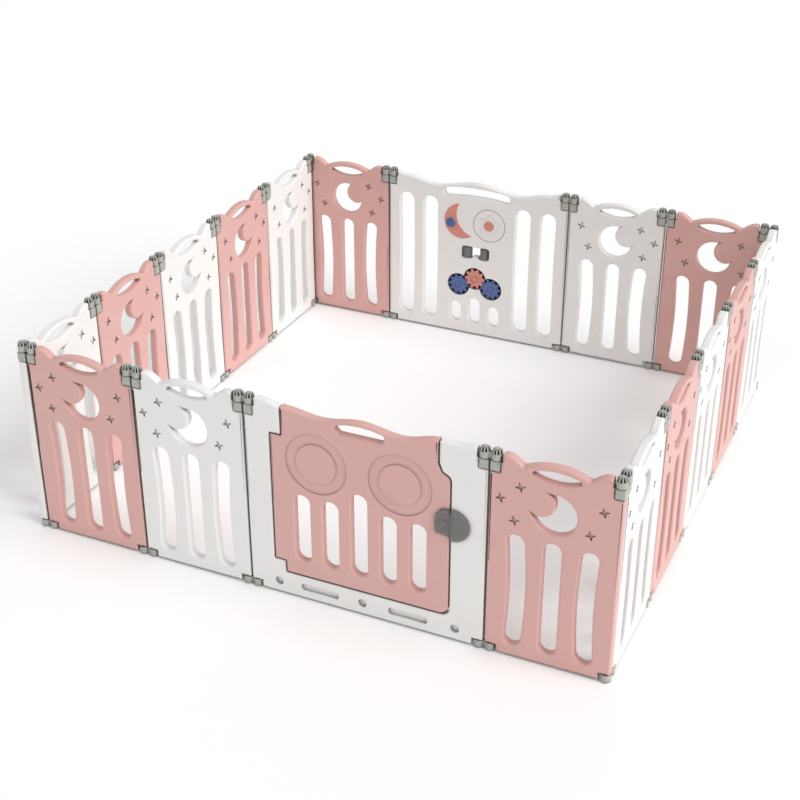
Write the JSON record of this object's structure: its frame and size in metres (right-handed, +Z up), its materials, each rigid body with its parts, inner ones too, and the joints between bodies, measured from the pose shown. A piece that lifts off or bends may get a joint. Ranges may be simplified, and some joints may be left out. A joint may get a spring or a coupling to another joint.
{
  "type": "playpen",
  "caption": "Folding baby playpen: a square ring of hinged plastic grille panels with a latched gate door and an activity panel with toys.",
  "frame": {"origin": "centre of the square, on the floor", "axes": "+Z up, -Y towards the gate side, +X to the right seen from the gate"},
  "size_m": [1.881, 1.8925, 0.6545],
  "materials": {
    "white_panels": "satin",
    "pink_panels": "satin",
    "grey_connectors": "satin",
    "smoky_latch": "translucent",
    "blue_toys": "gloss",
    "pink_toys": "gloss"
  },
  "bodies": {
    "gate": {"gate_frame": "white_panels", "gate_fittings": "grey_connectors"},
    "door": {"gate_door": "pink_panels"},
    "latch": {"gate_latch": "smoky_latch"},
    "front_3": {"front_panel_3": "pink_panels", "front_panel_3_brackets": "grey_connectors", "right_link_1": "grey_connectors"},
    "right_1": {"right_panel_1": "white_panels", "right_panel_1_brackets": "grey_connectors", "right_link_2": "grey_connectors"},
    "right_2": {"right_panel_2": "pink_panels", "right_panel_2_brackets": "grey_connectors", "right_link_3": "grey_connectors"},
    "right_3": {"right_panel_3": "white_panels", "right_panel_3_brackets": "grey_connectors", "right_link_4": "grey_connectors"},
    "right_4": {"right_panel_4": "pink_panels", "right_panel_4_brackets": "grey_connectors", "right_link_5": "grey_connectors"},
    "right_5": {"right_panel_5": "white_panels", "right_panel_5_brackets": "grey_connectors", "back_link_1": "grey_connectors"},
    "back_1": {"back_panel_1": "pink_panels", "back_panel_1_brackets": "grey_connectors", "back_link_2": "grey_connectors"},
    "back_2": {"back_panel_2": "white_panels", "back_panel_2_brackets": "grey_connectors", "back_link_activity": "grey_connectors"},
    "activity": {"activity_panel": "white_panels", "activity_fittings": "grey_connectors"},
    "front_2": {"front_panel_2": "white_panels", "front_panel_2_brackets": "grey_connectors", "front_link_2": "grey_connectors"},
    "front_1": {"front_panel_1": "pink_panels", "front_panel_1_brackets": "grey_connectors", "front_link_1": "grey_connectors"},
    "left_5": {"left_panel_5": "white_panels", "left_panel_5_brackets": "grey_connectors", "left_link_5": "grey_connectors"},
    "left_4": {"left_panel_4": "pink_panels", "left_panel_4_brackets": "grey_connectors", "left_link_4": "grey_connectors"},
    "left_3": {"left_panel_3": "white_panels", "left_panel_3_brackets": "grey_connectors", "left_link_3": "grey_connectors"},
    "left_2": {"left_panel_2": "pink_panels", "left_panel_2_brackets": "grey_connectors", "left_link_2": "grey_connectors"},
    "left_1": {"left_panel_1": "white_panels", "left_panel_1_brackets": "grey_connectors", "left_link_1": "grey_connectors"},
    "back_3": {"back_panel_3": "pink_panels", "back_panel_3_brackets": "grey_connectors"},
    "middle_gear": {"middle_gear": "pink_toys"},
    "left_gear": {"left_gear": "blue_toys"},
    "right_gear": {"right_gear": "blue_toys"},
    "dial": {"activity_dial": "white_panels"},
    "bead": {"slide_bead": "blue_toys"},
    "left_roller": {"left_roller": "grey_connectors"},
    "right_roller": {"right_roller": "grey_connectors"}
  },
  "joints": [
    {"name": "front_3_hinge", "type": "hinge", "parent": "gate", "child": "front_3", "pos_m": [0.589, -0.925, 0], "axis": [0, 0, 1], "range_deg": [-90, 0]},
    {"name": "right_1_hinge", "type": "hinge", "parent": "front_3", "child": "right_1", "pos_m": [0.925, -0.891, 0], "axis": [0, 0, -1], "range_deg": [0, 90]},
    {"name": "right_2_hinge", "type": "hinge", "parent": "right_1", "child": "right_2", "pos_m": [0.925, -0.521, 0], "axis": [0, 0, 1], "range_deg": [-90, 0]},
    {"name": "right_3_hinge", "type": "hinge", "parent": "right_2", "child": "right_3", "pos_m": [0.925, -0.151, 0], "axis": [0, 0, -1], "range_deg": [0, 90]},
    {"name": "right_4_hinge", "type": "hinge", "parent": "right_3", "child": "right_4", "pos_m": [0.925, 0.219, 0], "axis": [0, 0, 1], "range_deg": [-90, 0]},
    {"name": "right_5_hinge", "type": "hinge", "parent": "right_4", "child": "right_5", "pos_m": [0.925, 0.589, 0], "axis": [0, 0, -1], "range_deg": [0, 90]},
    {"name": "back_1_hinge", "type": "hinge", "parent": "right_5", "child": "back_1", "pos_m": [0.891, 0.925, 0], "axis": [0, 0, 1], "range_deg": [-90, 0]},
    {"name": "back_2_hinge", "type": "hinge", "parent": "back_1", "child": "back_2", "pos_m": [0.521, 0.925, 0], "axis": [0, 0, 1], "range_deg": [-90, 0]},
    {"name": "activity_hinge", "type": "hinge", "parent": "back_2", "child": "activity", "pos_m": [0.151, 0.925, 0], "axis": [0, 0, 1], "range_deg": [-90, 0]},
    {"name": "front_2_hinge", "type": "hinge", "parent": "gate", "child": "front_2", "pos_m": [-0.185, -0.925, 0], "axis": [0, 0, 1], "range_deg": [0, 90]},
    {"name": "front_1_hinge", "type": "hinge", "parent": "front_2", "child": "front_1", "pos_m": [-0.555, -0.925, 0], "axis": [0, 0, -1], "range_deg": [-90, 0]},
    {"name": "left_5_hinge", "type": "hinge", "parent": "front_1", "child": "left_5", "pos_m": [-0.925, -0.925, 0], "axis": [0, 0, 1], "range_deg": [0, 90]},
    {"name": "left_4_hinge", "type": "hinge", "parent": "left_5", "child": "left_4", "pos_m": [-0.925, -0.555, 0], "axis": [0, 0, 1], "range_deg": [0, 90]},
    {"name": "left_3_hinge", "type": "hinge", "parent": "left_4", "child": "left_3", "pos_m": [-0.925, -0.185, 0], "axis": [0, 0, -1], "range_deg": [-90, 0]},
    {"name": "left_2_hinge", "type": "hinge", "parent": "left_3", "child": "left_2", "pos_m": [-0.925, 0.185, 0], "axis": [0, 0, 1], "range_deg": [0, 90]},
    {"name": "left_1_hinge", "type": "hinge", "parent": "left_2", "child": "left_1", "pos_m": [-0.925, 0.555, 0], "axis": [0, 0, 1], "range_deg": [0, 90]},
    {"name": "back_3_hinge", "type": "hinge", "parent": "left_1", "child": "back_3", "pos_m": [-0.925, 0.925, 0], "axis": [0, 0, -1], "range_deg": [-90, 0]},
    {"name": "door_hinge", "type": "hinge", "parent": "gate", "child": "door", "pos_m": [-0.069, -0.925, 0], "axis": [0, 0, 1], "range_deg": [-95, 0]},
    {"name": "latch_turn", "type": "hinge", "parent": "door", "child": "latch", "pos_m": [0.447, -0.925, 0.39281], "axis": [0, -1, 0], "range_deg": [0, 90]},
    {"name": "middle_gear_spin", "type": "hinge", "parent": "activity", "child": "middle_gear", "pos_m": [-0.202, 0.925, 0.24425], "axis": [0, 1, 0], "continuous": true},
    {"name": "left_gear_spin", "type": "hinge", "parent": "activity", "child": "left_gear", "pos_m": [-0.26955, 0.925, 0.21027], "axis": [0, 1, 0], "continuous": true},
    {"name": "right_gear_spin", "type": "hinge", "parent": "activity", "child": "right_gear", "pos_m": [-0.13445, 0.925, 0.21027], "axis": [0, 1, 0], "continuous": true},
    {"name": "dial_spin", "type": "hinge", "parent": "activity", "child": "dial", "pos_m": [-0.147, 0.925, 0.47601], "axis": [0, 1, 0], "continuous": true},
    {"name": "bead_slide", "type": "hinge", "parent": "activity", "child": "bead", "pos_m": [-0.263, 0.925, 0.47795], "axis": [0, -1, 0], "range_deg": [-54, 56]},
    {"name": "left_roller_spin", "type": "hinge", "parent": "activity", "child": "left_roller", "pos_m": [-0.237, 0.925, 0.35324], "axis": [0, 0, 1], "continuous": true},
    {"name": "right_roller_spin", "type": "hinge", "parent": "activity", "child": "right_roller", "pos_m": [-0.167, 0.925, 0.35324], "axis": [0, 0, 1], "continuous": true}
  ],
  "couplings": [
    {"joint": "left_gear_spin", "follows": "middle_gear_spin", "ratio": -1},
    {"joint": "right_gear_spin", "follows": "middle_gear_spin", "ratio": -1}
  ]
}
